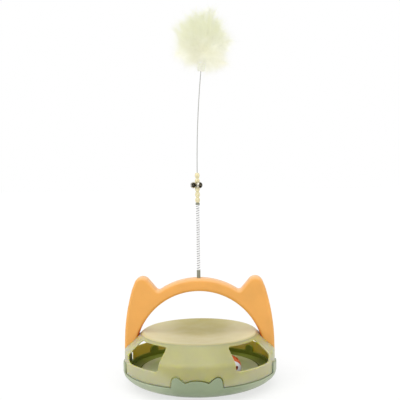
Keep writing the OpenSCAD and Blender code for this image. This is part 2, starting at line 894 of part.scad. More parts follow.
// Ring of the wire's tube at a height on its straight part, or at an angle up its bow
function wire_ring(z) =
    [for (k = [0:wire_sides - 1]) [each on_circle([0, 0], wire_r, 360 * k / wire_sides), z]];

function bow_ring(a, rise = 0) =
    [for (p = wire_ring(0))
        let (r = bend_r - p[0])
        [bend_r - r * cos(a) + rise * sin(a), p[1], bend_z + r * sin(a) + rise * cos(a)]];

module teaser_wire() {
    steps = 12;
    color(steel)
        loft(concat(
            [wire_ring(spring_top_z + wire_seat)],
            [for (k = [0:steps]) bow_ring(lean * k / steps)],
            [bow_ring(lean, wire_in_cap)]));
}

// Barrel-shaped bead threaded on the wire
module bead(z) {
    swell = 10;
    color(ivory)
        difference() {
            translate([0, 0, z])
                rotate_extrude()
                    polygon(concat(
                        [[0, 0]],
                        [for (k = [0:swell])
                            let (bulge = sin(180 * k / swell))
                            [bead_neck_r + (bead_r - bead_neck_r) * bulge, bead_h * k / swell]],
                        [[0, bead_h]]));
            post(wire_r + bead_bore_gap, z - past, z + bead_h + past);
        }
}

module bead_bottom() bead(bead_z);

module bead_lower() bead(bead_z + bead_h);

module bead_middle() bead(bead_z + 2 * bead_h);

module bead_upper() bead(bend_z - 2 * bead_h);

module bead_top() bead(bend_z - bead_h);

// Places its children at a bell's middle, with +X away from the wire
module at_bell(angle) {
    translate([0, 0, bell_z])
        rotate([0, 0, angle])
            translate([bell_arm, 0, 0])
                children();
}

// Jingle bell with a crossed slot on its far side and an eye round the wire
module bell(angle, lift) {
    steps = 12;
    neck = bell_arm - eye_r;
    at_bell(angle) {
        difference() {
            rotate([0, 90, 0])
                rotate_extrude($fn = 48)
                    polygon(concat(
                        arc([0, 0], bell_r, -90, -bell_band_a, steps),
                        arc([0, 0], bell_r + bell_band, -bell_band_a, bell_band_a, 2),
                        arc([0, 0], bell_r, bell_band_a, 90, steps),
                        arc([0, 0], bell_r - bell_wall, 90, -90, 2 * steps)));
            for (a = [0, 90])
                rotate([a, 0, 0])
                    translate([bell_slot_from, -bell_slot / 2, -2 * bell_r])
                        cube([2 * bell_r, bell_slot, 4 * bell_r]);
        }
        translate([-neck, 0, lift])
            rotate([0, 90, 0])
                cylinder(r = eye_wire_r - seat_gap, h = neck - bell_r + 1.5 * bell_wall, $fn = 24);
    }
    translate([0, 0, bell_z + lift])
        rotate_extrude($fn = 48)
            translate([eye_r, 0])
                circle(r = eye_wire_r, $fn = 24);
}

module bell_pellet(angle) {
    at_bell(angle)
        translate([0, 0, pellet_r + bell_wall + seat_gap - bell_r])
            sphere(r = pellet_r);
}

module bell_left() {
    color(steel)
        bell(bell_left_angle, eye_lift);
}

module bell_left_pellet() {
    color(steel)
        bell_pellet(bell_left_angle);
}

module bell_right() {
    color(steel)
        bell(bell_right_angle, -eye_lift);
}

module bell_right_pellet() {
    color(steel)
        bell_pellet(bell_right_angle);
}

module plume_cap() {
    color(ivory)
        at_wire_top()
            difference() {
                rotate_extrude()
                    polygon(concat(
                        [[0, 0]],
                        corner([0, 0], [cap_r - cap_taper, 0], [cap_r, cap_h], cap_round),
                        [[cap_r, cap_h], [0, cap_h]]));
                translate([0, 0, -past])
                    cylinder(r = wire_r + bead_bore_gap, h = wire_in_cap + past + seat_gap);
            }
}

// Outline of the plume at an angle from its stalk, 0, to its crown, 180
function plume_edge(a) = a < 90
    ? [plume_r * pow(sin(a), plume_blunt), plume_wide_h * (1 - cos(a))]
    : [plume_r * pow(sin(a), plume_crown), plume_wide_h - (plume_h - plume_wide_h) * cos(a)];

// Soft plume as a plump closed form that springs from its cap
module feather_plume() {
    steps = 24;
    first = asin(pow(plume_neck_r / plume_r, 1 / plume_blunt));
    color(ivory)
        at_wire_top()
            translate([0, 0, cap_h])
                rotate_extrude()
                    polygon(concat(
                        [[0, 0], [plume_neck_r, 0]],
                        [for (k = [1:steps]) plume_edge(first + (180 - first) * k / steps)]));
}

base_bowl();
rubber_feet();
base_screws();
track_ring();
spindle_pin();
thrust_washer();
turntable();
spindle_cap();
ball_orange_half();
ball_white_half();
ball_rattle();
cover_shell();
top_dish();
handle_front();
handle_rear();
handle_screws();
swivel_bush();
spring_ferrule();
retaining_clip();
spring();
spring_cap();
teaser_wire();
bead_bottom();
bead_lower();
bead_middle();
bead_upper();
bead_top();
bell_left();
bell_left_pellet();
bell_right();
bell_right_pellet();
plume_cap();
feather_plume();
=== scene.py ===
# Looks of a cat teaser toy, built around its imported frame.
# Sizes are in millimetres, as in the part's source; MM brings them to metres.
import math

import bmesh
import bpy
import numpy as np
from mathutils import Matrix, Vector
from mathutils.geometry import delaunay_2d_cdt


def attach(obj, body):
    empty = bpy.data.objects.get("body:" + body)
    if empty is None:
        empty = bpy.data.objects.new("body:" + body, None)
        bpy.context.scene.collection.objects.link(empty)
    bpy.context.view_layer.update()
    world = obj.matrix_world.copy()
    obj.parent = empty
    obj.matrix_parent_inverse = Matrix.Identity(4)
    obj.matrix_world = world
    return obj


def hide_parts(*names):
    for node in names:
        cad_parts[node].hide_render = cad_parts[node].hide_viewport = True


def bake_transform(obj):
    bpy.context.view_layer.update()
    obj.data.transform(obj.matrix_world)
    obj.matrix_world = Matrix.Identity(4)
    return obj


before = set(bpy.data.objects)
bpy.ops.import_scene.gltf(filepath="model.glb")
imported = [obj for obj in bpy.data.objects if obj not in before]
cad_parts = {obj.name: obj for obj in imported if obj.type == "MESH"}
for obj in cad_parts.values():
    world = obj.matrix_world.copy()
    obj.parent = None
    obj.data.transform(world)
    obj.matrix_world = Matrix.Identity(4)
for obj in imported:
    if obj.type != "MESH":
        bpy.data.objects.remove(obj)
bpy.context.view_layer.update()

MM = 0.001
TAU = 2 * math.pi

# Meshes: angle from which an edge is sharp, steps along edges, and degrees by which an arc stops
# short of a rounded corner
SHARP = math.radians(38)
FINE_PITCH = 2.5
EDGE_PITCH = 4
ARC_STOP = 5

# Base bowl and cover
BASE_R = 121
BOTTOM_Z = 1.5
RIM_Z = 25
BOWL_RUN = 57
BASE_WALL = 3
COVER_R = 118.5
COVER_WALL = 2.5
PART_GAP = 0.4
SHOULDER_Z = 57.5
SHOULDER_ROUND = 8
SEAT_Z = 81.5
SHOULDER_TOP_R = 91
SLOPE = (SEAT_Z - SHOULDER_Z) / (COVER_R - SHOULDER_TOP_R)
FLAT_R = BASE_R - BOWL_RUN
BASE_SCREW_R = 102
SCREW_HOLE_R = 3.2
TAB_GROOVE = 1.1
TAB_PROUD = 0.45
TAB_NOTCH = (17.5, RIM_Z + 7.5)
TAB_BROW_Z = RIM_Z + 11.5
TAB_TIP = (35.3, RIM_Z + 20.7)
TAB_FOOT = 38.5
# The step beside a tab's foot, measured from the foot
TAB_STEP_START, TAB_STEP_MIDDLE, TAB_STEP_END = -0.7, -0.1, 0.5
WINDOW_ANGLE = 47.25
WINDOW_HALF_W = 38
WINDOW_SILL_Z = RIM_Z + 20.5
WINDOW_HEAD_Z = SEAT_Z - 3.5
WINDOW_LEAN = 0.35
WINDOW_ROUND = 6

# Dish
DISH_R = 86.2
DISH_RIM_H = 1.6
DISH_ROLL = 1
DISH_FALL = 4
DISH_WALL = 2.4
DISH_STEP = 2
DISH_SKIRT = 5

# Ball
BALL_PLACE = (45.8538, -67.9811, 42.3)
BALL_R = 19
BALL_TILT = 50
BALL_TURN = 18
BALL_WALL = 1.6
SLOTS = 6
SLOT_HALF_W = 2.75
SLOT_HALF_L = 5.5
SLOT_ANGLE = 56

# Handle
HALF_DEPTH = 12
HALF_GAP = 0.06
LEG_SUNK = 5.5
LEG_X = 118
LEG_Z = 62.5
LEG_BOW = 300
ARCH_R = 112
ARCH_TOP_Z = 167
GRIP_TOP_Z = 147
GRIP_HALF_W = 102
GRIP_HALF_H = 105
BUSH_TOP_Z = 165
BUSH_BORE_R = 4.55
STEM_BORE_R = 2.7
SOCKET_Z = 150.9
EAR = (89, 157)
EAR_R = 12.5
FLANK = 140
NOTCH_R = 5
HANDLE_EDGE = 5
FINE_EDGE = 0.4
EDGE_GROWTH = 0.28
SCREW_PLACES = [EAR, (-EAR[0], EAR[1]), (108.05, 90), (-108.05, 90)]

# Teaser
SPRING_Z = 179.4
SPRING_TOP_Z = 282.25
SPRING_R = 2.4
SPRING_WIRE = 0.8
SPRING_PITCH = 3.75
SPRING_TURNS = 27
BEAD_Z = 285.45
BEAD_H = 8.7
BEAD_R = 3.9
BEAD_NECK_R = 2
BEND_Z = 332.65
WIRE_FREE = 157
WIRE_BOW = 8
WIRE_R = 0.7
WIRE_BORE_R = WIRE_R + 0.1
BEND_R = (WIRE_FREE ** 2 + WIRE_BOW ** 2) / (2 * WIRE_BOW)
LEAN = math.asin(WIRE_FREE / BEND_R)
CAP_R = 6.2
CAP_TAPER = 0.6
CAP_H = 12
CAP_WALL = 1.4
CAP_DEPTH = 5


# Plane geometry
def arc(centre, r, a0, a1, n):
    steps = [math.radians(a0 + (a1 - a0) * k / n) for k in range(n + 1)]
    return [(centre[0] + r * math.cos(a), centre[1] + r * math.sin(a)) for a in steps]


def fillet(a, b, c, r):
    """Arc of radius r that rounds the corner a, b, c: its middle, both ends, first angle and turn."""
    a, b, c = Vector(a), Vector(b), Vector(c)
    u, v = (a - b).normalized(), (c - b).normalized()
    half = math.acos(max(-1, min(1, u.dot(v)))) / 2
    o = b + (u + v).normalized() * r / math.sin(half)
    p, q = b + u * r / math.tan(half), b + v * r / math.tan(half)
    first, last = p - o, q - o
    start = math.atan2(first.y, first.x)
    turn = (math.atan2(last.y, last.x) - start + math.pi) % TAU - math.pi
    return o, p, q, start, turn


def corner(a, b, c, r, n=8):
    """Points of the arc of radius r that rounds the corner a, b, c."""
    o, _, _, start, turn = fillet(a, b, c, r)
    return arc(o, r, math.degrees(start), math.degrees(start + turn), n)


def rounded(points):
    """Closed path through (x, y, radius) points, with an arc at each of them."""
    out = []
    for i, (x, y, r) in enumerate(points):
        after = points[(i + 1) % len(points)]
        out += corner(points[i - 1][:2], (x, y), after[:2], r)
    return out


def dense(points, pitch, closed=False):
    """The same path with no step longer than pitch."""
    out = []
    ends = points[1:] + points[:1] if closed else points[1:]
    for a, b in zip(points, ends):
        n = max(1, math.ceil(math.dist(a, b) / pitch))
        out += [(a[0] + (b[0] - a[0]) * k / n, a[1] + (b[1] - a[1]) * k / n) for k in range(n)]
    return out if closed else out + [points[-1]]


def moved_right(points, d):
    """Open path moved by d to the right of its direction."""
    out = []
    for i, p in enumerate(points):
        a = Vector(points[max(i - 1, 0)])
        b = Vector(p)
        c = Vector(points[min(i + 1, len(points) - 1)])
        p1 = (b - a).normalized() if i > 0 else (c - b).normalized()
        p2 = (c - b).normalized() if i < len(points) - 1 else p1
        n1, n2 = Vector((p1.y, -p1.x)), Vector((p2.y, -p2.x))
        step = (n1 + n2) / (1 + n1.dot(n2))
        out.append((p[0] + d * step.x, p[1] + d * step.y))
    return out


def inside(points, loop):
    """Which of the points lie in a closed loop."""
    hit = np.zeros(len(points), bool)
    x, y = points[:, 0], points[:, 1]
    for (x0, y0), (x1, y1) in zip(loop, loop[1:] + loop[:1]):
        if y0 != y1:
            cross = (y0 > y) != (y1 > y)
            hit ^= cross & (x < (x1 - x0) * (y - y0) / (y1 - y0) + x0)
    return hit


# Meshes
def add_object(name, data):
    """New object in the scene."""
    obj = bpy.data.objects.new(name, data)
    bpy.context.scene.collection.objects.link(obj)
    return obj


def make(name, verts, faces, material):
    """Mesh object from points in millimetres, welded, with its normals outwards."""
    mesh = bpy.data.meshes.new(name)
    mesh.from_pydata([(x * MM, y * MM, z * MM) for x, y, z in verts], [], faces)
    bm = bmesh.new()
    bm.from_mesh(mesh)
    bmesh.ops.remove_doubles(bm, verts=bm.verts, dist=2e-6)
    bmesh.ops.dissolve_degenerate(bm, edges=bm.edges, dist=1e-7)
    bmesh.ops.recalc_face_normals(bm, faces=bm.faces)
    bm.to_mesh(mesh)
    bm.free()
    mesh.polygons.foreach_set("use_smooth", [True] * len(mesh.polygons))
    mesh.set_sharp_from_angle(angle=SHARP)
    mesh.materials.append(material)
    return add_object(name, mesh)


def carve(objects, part):
    """Takes a closed part out of the objects."""
    cutter = make("cutter", *part, objects[0].data.materials[0])
    for obj in objects:
        cut = obj.modifiers.new("cut", "BOOLEAN")
        cut.operation = "DIFFERENCE"
        cut.object = cutter
        whole = obj.evaluated_get(bpy.context.evaluated_depsgraph_get())
        mesh = bpy.data.meshes.new_from_object(whole)
        obj.modifiers.clear()
        mesh.set_sharp_from_angle(angle=SHARP)
        obj.data = mesh
    bpy.data.objects.remove(cutter)


def settle(obj, body, node):
    """Says which body a piece rides on and the node that it stands for."""
    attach(obj, body)
    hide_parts(node)


def lathe(profile, steps, place=None):
    """Closed profile of (radius, height) points turned round the Z axis."""
    verts, faces, rows = [], [], []
    for r, z in profile:
        if r < 1e-6:
            rows.append([len(verts)] * steps)
            verts.append((0, 0, z))
        else:
            rows.append(list(range(len(verts), len(verts) + steps)))
            turns = [TAU * k / steps for k in range(steps)]
            verts += [(r * math.cos(a), r * math.sin(a), z) for a in turns]
    for a, b in zip(rows, rows[1:] + rows[:1]):
        for k in range(steps):
            quad = (a[k], a[(k + 1) % steps], b[(k + 1) % steps], b[k])
            face = tuple(dict.fromkeys(quad))
            if len(face) > 2:
                faces.append(face)
    if place:
        verts = [tuple(place @ Vector(v)) for v in verts]
    return verts, faces


def tube(path, radius, sides):
    """Closed round tube along a path."""
    path = [Vector(p) for p in path]
    verts, faces = [], []
    side = None
    for i, p in enumerate(path):
        t = (path[min(i + 1, len(path) - 1)] - path[max(i - 1, 0)]).normalized()
        if side is None:
            side = t.orthogonal()
        side = (side - t * side.dot(t)).normalized()
        up = t.cross(side)
        for k in range(sides):
            a = TAU * k / sides
            verts.append(tuple(p + radius * (math.cos(a) * side + math.sin(a) * up)))
    for i in range(len(path) - 1):
        for k in range(sides):
            a, b = i * sides + k, i * sides + (k + 1) % sides
            faces.append((a, b, b + sides, a + sides))
    faces.append(tuple(range(sides)))
    faces.append(tuple(len(verts) - 1 - k for k in range(sides)))
    return verts, faces


def panel(surface, wall, outline, holes, edge, inner_edge, pitch=4.0, steps=5, creases=()):
    """Shell of one thickness on a surface, with rounded edges.
    outline: parts ("rim", points) or ("seam", points) in turn, anticlockwise, or one ("loop", points).
    holes: clockwise loops. edge: radius of the outer edges, or a function of the place.
    Seams are left open, to be joined to a copy. creases: points that the mesh must have."""
    nudge = 0.01
    sharpest, row_pitch, clear = 0.6, 0.87, 0.62

    def frame_at(uv):
        u, v = uv
        su = (surface(u + nudge, v) - surface(u - nudge, v)) / (2 * nudge)
        sv = (surface(u, v + nudge) - surface(u, v - nudge)) / (2 * nudge)
        return surface(u, v), su, sv, su.cross(sv).normalized()

    verts, faces, uvs, loops, chains = [], [], [], [], []

    def rim(points, closed):
        """Frame and edge radius at each point of an edge, and where the edge's rounding ends."""
        places = [frame_at(p) for p in points]
        m = len(points)
        rows, ring_uv = [], []
        for i, (p, su, sv, n) in enumerate(places):
            before = places[i - 1][0] if closed or i > 0 else None
            after = places[(i + 1) % m][0] if closed or i < m - 1 else None
            if before is None or after is None:
                t = su.normalized()
                step = (after - p) if before is None else (p - before)
                t = t if t.dot(step) > 0 else -t
                b = n.cross(t)
            else:
                t1, t2 = (p - before).normalized(), (after - p).normalized()
                t = (t1 + t2).normalized()
                b = n.cross(t) / max(sharpest, t.dot(t1))
            f = edge(points[i]) if callable(edge) else edge
            rows.append((p, n, b, f))
            u, v = points[i]
            ring_uv.append((u + f * b.dot(su) / su.length_squared,
                            v + f * b.dot(sv) / sv.length_squared))
        return rows, ring_uv

    # Loops of the face inside the rounded edges
    boundary = []
    for kind, points in outline:
        if kind == "seam":
            boundary += points
        else:
            rows, ring_uv = rim(points, kind == "loop")
            chains.append((rows, len(uvs) + len(boundary), kind == "loop"))
            boundary += ring_uv
    loops.append(list(range(len(boundary))))
    uvs += boundary
    for points in holes:
        rows, ring_uv = rim(points, True)
        chains.append((rows, len(uvs), True))
        loops.append(list(range(len(uvs), len(uvs) + len(points))))
        uvs += ring_uv

    # Points over the face, clear of its edges
    rims = [[uvs[i] for i in loop] for loop in loops]
    lo, hi = np.array(uvs).min(0), np.array(uvs).max(0)
    uvs += creases
    edge_points = np.array(uvs)
    grid = np.array([(u + (0.5 * pitch if k % 2 else 0), v)
                     for k, v in enumerate(np.arange(lo[1], hi[1], pitch * row_pitch))
                     for u in np.arange(lo[0], hi[0], pitch)])
    keep = inside(grid, rims[0])
    for loop in rims[1:]:
        keep &= ~inside(grid, loop)
    grid = grid[keep]
    far = np.array([((edge_points - g) ** 2).sum(1).min() for g in grid]) > (clear * pitch) ** 2
    uvs += [tuple(g) for g in grid[far]]

    # Triangles between them, without those outside the outline or in a hole
    edges = [(loop[i], loop[(i + 1) % len(loop)]) for loop in loops for i in range(len(loop))]
    found = delaunay_2d_cdt([Vector(p) for p in uvs], edges, [], 0, 1e-7)
    name_of = [group[0] for group in found[3]]
    triangles = [tuple(name_of[i] for i in face) for face in found[2]]
    centres = np.array([[sum(uvs[i][k] for i in t) / 3 for k in (0, 1)] for t in triangles])
    keep = inside(centres, rims[0])
    for loop in rims[1:]:
        keep &= ~inside(centres, loop)
    triangles = [t for t, k in zip(triangles, keep) if k]

    # Outer and inner face, then the rounded edges between the two
    places = [frame_at(p) for p in uvs]
    count = len(uvs)
    verts += [p for p, su, sv, n in places]
    verts += [p - n * wall for p, su, sv, n in places]
    faces += triangles
    faces += [tuple(count + i for i in reversed(t)) for t in triangles]
    turns = [math.pi / 2 * k / steps for k in range(1, steps + 1)]
    for rows, first, closed in chains:
        m = len(rows)
        layers = [[first + i for i in range(m)]]
        for a in turns:
            layers.append(list(range(len(verts), len(verts) + m)))
            verts += [p + f * (b * (1 - math.sin(a)) - n * (1 - math.cos(a))) for p, n, b, f in rows]
        for a in list(reversed(turns)) + [0]:
            layers.append(list(range(len(verts), len(verts) + m)))
            inward, deep = inner_edge * (1 - math.sin(a)), wall - inner_edge * (1 - math.cos(a))
            verts += [p + b * inward - n * deep for p, n, b, f in rows]
        layers.append([count + first + i for i in range(m)])
        for low, high in zip(layers, layers[1:]):
            for i in range(m if closed else m - 1):
                j = (i + 1) % m
                faces.append((low[i], high[i], high[j], low[j]))
    return verts, faces


def joined(*parts):
    verts, faces = [], []
    for v, f in parts:
        base = len(verts)
        verts += [tuple(p) for p in v]
        faces += [tuple(base + i for i in face) for face in f]
    return verts, faces


def turned(part, matrix):
    return [tuple(matrix @ Vector(p)) for p in part[0]], part[1]


def quarters(part):
    return joined(*[turned(part, Matrix.Rotation(TAU / 4 * k, 4, "Z")) for k in range(4)])


def mirrored_quarters(part):
    """Four quarters, each the mirror image of its neighbours."""
    sides = [Matrix.Scale(a, 4, (1, 0, 0)) @ Matrix.Scale(b, 4, (0, 1, 0))
             for a in (1, -1) for b in (1, -1)]
    return joined(*[turned(part, side) for side in sides])


class Profile:
    """Path of lines and one arc, by its length. Points are (radius, height)."""

    def __init__(self, a, b, c, r):
        a, b, c = Vector(a), Vector(b), Vector(c)
        self.a, self.r = a, r
        self.u, self.v = (a - b).normalized(), (c - b).normalized()
        self.o, self.p, self.q, self.start, self.turn = fillet(a, b, c, r)
        self.line = (self.p - a).length
        self.bend = abs(self.turn) * r
        self.length = self.line + self.bend + (c - self.q).length

    def at(self, s):
        if s < self.line:
            return self.a - self.u * s
        if s < self.line + self.bend:
            a = self.start + self.turn * (s - self.line) / self.bend
            return self.o + self.r * Vector((math.cos(a), math.sin(a)))
        return self.q + self.v * (s - self.line - self.bend)

    def length_at(self, z):
        """How far along the path a height is reached."""
        lo, hi = 0.0, self.length
        for _ in range(50):
            mid = (lo + hi) / 2
            if self.at(mid)[1] < z:
                lo = mid
            else:
                hi = mid
        return lo


# Materials; places and distances in them are in metres
def lin(r, g, b):
    """Linear colour from its 8-bit values."""
    channels = [c / 255 for c in (r, g, b)]
    return tuple(c / 12.92 if c <= 0.04045 else ((c + 0.055) / 1.055) ** 2.4 for c in channels) + (1.0,)


def tone(rgb, k):
    """The same colour, k times as bright."""
    return tuple(min(1.0, c * k) for c in rgb[:3]) + (1.0,)


def fill(tree, node, inputs):
    """Gives a node its inputs: sockets are linked, other values are set."""
    for key, value in inputs.items():
        if isinstance(value, bpy.types.NodeSocket):
            tree.links.new(value, node.inputs[key])
        else:
            node.inputs[key].default_value = value
    return node


def add_node(tree, kind, inputs, **settings):
    node = tree.nodes.new(kind)
    for key, value in settings.items():
        setattr(node, key, value)
    return fill(tree, node, inputs)


def begin(name):
    """New material with its node tree, its shader and the place on the object."""
    mat = bpy.data.materials.new(name)
    mat.use_nodes = True
    tree = mat.node_tree
    place = tree.nodes.new("ShaderNodeTexCoord").outputs["Object"]
    return mat, tree, tree.nodes["Principled BSDF"], place


def noise(tree, place, scale, detail):
    inputs = {"Vector": place, "Scale": scale, "Detail": detail}
    return add_node(tree, "ShaderNodeTexNoise", inputs).outputs["Fac"]


def ramp(tree, source, low, high, start=0.35, end=0.65):
    node = add_node(tree, "ShaderNodeValToRGB", {"Fac": source})
    for element, position, colour in zip(node.color_ramp.elements, (start, end), (low, high)):
        element.position = position
        element.color = colour
    return node.outputs["Color"]


def span(tree, source, start, end, low=0.0, high=1.0, smooth=False):
    """Value that goes from low to high as its source goes from start to end."""
    inputs = {"Value": source, "From Min": start, "From Max": end, "To Min": low, "To Max": high}
    kind = "SMOOTHSTEP" if smooth else "LINEAR"
    return add_node(tree, "ShaderNodeMapRange", inputs, interpolation_type=kind).outputs["Result"]


def uneven(tree, source, low, high):
    """Value between low and high that follows a noise."""
    return span(tree, source, 0.3, 0.7, low, high)


def times(tree, a, b):
    return add_node(tree, "ShaderNodeMath", {0: a, 1: b}, operation="MULTIPLY").outputs[0]


def parts_of(tree, vector):
    """X, Y and Z of a vector."""
    return add_node(tree, "ShaderNodeSeparateXYZ", {0: vector}).outputs


def mixed(tree, share, colour, other):
    """A colour with a share of another one."""
    inputs = {"Factor": share, 6: colour, 7: other}
    return add_node(tree, "ShaderNodeMix", inputs, data_type="RGBA").outputs[2]


def grain_of(tree, source, strength, distance):
    """Normal that is uneven where a noise is."""
    inputs = {"Height": source, "Strength": strength, "Distance": distance}
    return add_node(tree, "ShaderNodeBump", inputs).outputs["Normal"]


def plastic(name, rgb, rough=0.42, swing=0.05, grain=0.12, skin=0.0, depth=(0.004, 0.003, 0.002)):
    """Moulded plastic: fine spark-eroded grain, faint flow marks and patches of gloss."""
    mat, tree, shader, place = begin(name)
    fill(tree, shader, {
        "Base Color": ramp(tree, noise(tree, place, 22, 4), tone(rgb, 1 - swing), tone(rgb, 1 + swing)),
        "Roughness": uneven(tree, noise(tree, place, 60, 2), rough - 0.05, rough + 0.06),
        "Normal": grain_of(tree, noise(tree, place, 1600, 2), grain, 0.0001),
        "Specular IOR Level": 0.4, "Subsurface Weight": skin, "Subsurface Radius": depth,
        "Subsurface Scale": 1.0})
    return mat


def metal(name, rgb, rough=0.2, swing=0.08, grain=0.05):
    """Drawn or plated metal with faint scuffs."""
    mat, tree, shader, place = begin(name)
    fill(tree, shader, {
        "Base Color": ramp(tree, noise(tree, place, 300, 3), tone(rgb, 1 - swing), tone(rgb, 1 + swing)),
        "Roughness": uneven(tree, noise(tree, place, 900, 2), rough * 0.75, rough * 1.35),
        "Normal": grain_of(tree, noise(tree, place, 2500, 2), grain, 0.00005),
        "Metallic": 1.0})
    return mat


def show_mix(tree, share, first, second):
    """Ends a material in a mix of two shaders."""
    both = add_node(tree, "ShaderNodeMixShader", {"Fac": share, 1: first, 2: second})
    tree.links.new(both.outputs["Shader"], tree.nodes["Material Output"].inputs["Surface"])


def feather(name, rgb, shade, tip):
    """Soft down: matt and thin, darker in patches, with painted shade on its upper tips and a painted
    glow, most at its foot.
    """
    mat, tree, shader, place = begin(name)
    # Painted shade darkens the upper tips; emission is a painted glow over the down, strongest at its
    # foot
    shaded_tips_z, foot_z = (0.515, 0.565), (0.5, 0.53)
    painted_foot_glow, glow = 0.38, 0.32
    patches = ramp(tree, noise(tree, place, 45, 3), shade, rgb, 0.3, 0.62)
    height = parts_of(tree, place)["Z"]
    colour = mixed(tree, span(tree, height, *shaded_tips_z), patches, tip)
    fill(tree, shader, {
        "Base Color": colour,
        "Roughness": uneven(tree, noise(tree, place, 400, 2), 0.75, 0.95),
        "Specular IOR Level": 0.15, "Emission Color": rgb,
        "Emission Strength": span(tree, height, *foot_z, painted_foot_glow, glow)})
    through = add_node(tree, "ShaderNodeBsdfTranslucent", {"Color": colour}).outputs["BSDF"]
    show_mix(tree, 0.7, shader.outputs["BSDF"], through)
    return mat


def mix_in(mat, share, colour):
    """Mixes one more colour into a finished material."""
    tree = mat.node_tree
    base = tree.nodes["Principled BSDF"].inputs["Base Color"]
    tree.links.new(mixed(tree, share, base.links[0].from_socket, colour), base)


def place_on(tree):
    """Place on the object, in a finished material."""
    return tree.nodes["Texture Coordinate"].outputs["Object"]


def fade_outwards(mat, pale, place, start, end, squeeze=(1, 1, 1)):
    """Paler colour further from a place; squeeze shortens the distance along an axis."""
    tree = mat.node_tree
    kind = "ShaderNodeVectorMath"
    away = add_node(tree, kind, {0: place_on(tree), 1: place}, operation="SUBTRACT").outputs["Vector"]
    away = add_node(tree, kind, {0: away, 1: squeeze}, operation="MULTIPLY").outputs["Vector"]
    distance = add_node(tree, kind, {0: away}, operation="LENGTH").outputs["Value"]
    mix_in(mat, span(tree, distance, start, end, smooth=True), pale)


def paint_shade_inside(mat, deep):
    """Painted shade and bounced light: deeper colour low on the inner sides of the handle's legs."""
    tree = mat.node_tree
    place = parts_of(tree, place_on(tree))
    facing = parts_of(tree, tree.nodes.new("ShaderNodeNewGeometry").outputs["True Normal"])
    inwards, low_z = (-0.04, -0.07), (0.125, 0.085)
    inner = span(tree, times(tree, place["X"], facing["X"]), *inwards)
    low = span(tree, place["Z"], *low_z)
    mix_in(mat, times(tree, inner, low), deep)


def paint_light_upwards(mat, pale):
    """Painted light: paler colour on the edges that face up, where light from above falls on them."""
    tree = mat.node_tree
    facing = parts_of(tree, tree.nodes.new("ShaderNodeNewGeometry").outputs["Normal"])
    mix_in(mat, span(tree, facing["Z"], 0.0, 0.9, smooth=True), pale)


SAGE = plastic("sage_plastic", lin(134, 147, 118), 0.4, skin=0.1)
# Painted light: the bowl is paler towards its left and right sides
fade_outwards(SAGE, lin(164, 174, 146), (0.012, 0, 0), start=0.03, end=0.085, squeeze=(1, 0, 0))
RING_GREEN = plastic("ring_green_plastic", lin(148, 160, 62), 0.4)
FLOOR_GREEN = plastic("floor_green_plastic", lin(230, 242, 142), 0.35)
fade_outwards(FLOOR_GREEN, lin(252, 255, 190), (0, 0, 0), start=0.076, end=0.087, squeeze=(1, 1, 0))
KHAKI, KHAKI_PAINTED_LIGHT = [plastic(name, lin(172, 169, 119), 0.38, skin=1.0, depth=(0.0115, 0.0092, 0.0008))
                     for name in ("khaki_plastic", "khaki_painted_light_plastic")]
# Painted light: the cover's outer faces are paler lower down and towards the sides
fade_outwards(KHAKI_PAINTED_LIGHT, lin(180, 178, 143), (0.012, 0, 0.075), start=0.036, end=0.052,
              squeeze=(0.5, 0, 1))
DISH_KHAKI = plastic("khaki_dish_plastic", lin(168, 157, 86), 0.42, swing=0.02, grain=0.01, skin=0.2)
# Painted shade: the dish is darker round a place behind its middle; painted light: it is paler towards
# its left and right sides
fade_outwards(DISH_KHAKI, lin(190, 180, 131), (0, 0.04, SEAT_Z * MM), start=0.035, end=0.08)
fade_outwards(DISH_KHAKI, lin(214, 205, 157), (0.004, 0, SEAT_Z * MM), start=0.02, end=0.094,
              squeeze=(1, 0.3, 1))
ORANGE = plastic("orange_plastic", lin(232, 168, 84), 0.38, skin=0.15)
# Painted shade and bounced light low on the inner sides of the legs
paint_shade_inside(ORANGE, lin(214, 92, 18))
# Painted light on the edges that face up
paint_light_upwards(ORANGE, lin(240, 184, 122))
RED_ORANGE = plastic("red_orange_gloss", lin(226, 92, 36), 0.25, grain=0.04, skin=0.6,
                     depth=(0.012, 0.005, 0.002))
WHITE = plastic("white_gloss", lin(228, 222, 224), 0.25, grain=0.04, skin=0.4,
                depth=(0.008, 0.006, 0.005))
NYLON = plastic("white_plastic", lin(225, 225, 220), 0.5)
IVORY = plastic("ivory_gloss", lin(232, 222, 180), 0.22, grain=0.04, skin=0.15)
PALE_CAP = plastic("pale_cap_plastic", lin(244, 244, 232), 0.4, skin=0.1)
STEEL = metal("steel", lin(150, 150, 148), 0.25)
# Spring wire in two copies of one steel: painted shade outside the coil, a painted highlight inside it
SPRING_PAINTED_SHADE = metal("spring_painted_shade_steel", lin(40, 40, 38), 0.28)
SPRING_PAINTED_HIGHLIGHT = metal("spring_painted_highlight_steel", lin(226, 226, 224), 0.28)
WIRE_STEEL = metal("wire_steel", lin(176, 176, 172), 0.3)
GREY_METAL = metal("grey_metal", lin(142, 143, 127), 0.36)
# Bells: pale metal with a dark patch painted on the front of each, as painted shade and a painted dark
# reflection
LEFT_BELL_PAINTED_SHADE = metal("left_bell_painted_shade_metal", lin(40, 37, 28), 0.14, swing=0.2)
fade_outwards(LEFT_BELL_PAINTED_SHADE, lin(205, 199, 184), (-0.0055, -0.0082, 0.3139), start=0.0032, end=0.005)
RIGHT_BELL_PAINTED_SHADE = metal("right_bell_painted_shade_metal", lin(40, 37, 28), 0.14, swing=0.2)
fade_outwards(RIGHT_BELL_PAINTED_SHADE, lin(205, 199, 184), (0.0073, -0.0089, 0.3134), start=0.0044, end=0.006)
DARK_STEEL = metal("dark_steel", lin(120, 120, 118), 0.34)
RUBBER = plastic("foot_rubber", lin(92, 98, 88), 0.8, grain=0.3)
DOWN = feather("feather_down", lin(255, 255, 249), lin(254, 253, 242), lin(244, 245, 228))


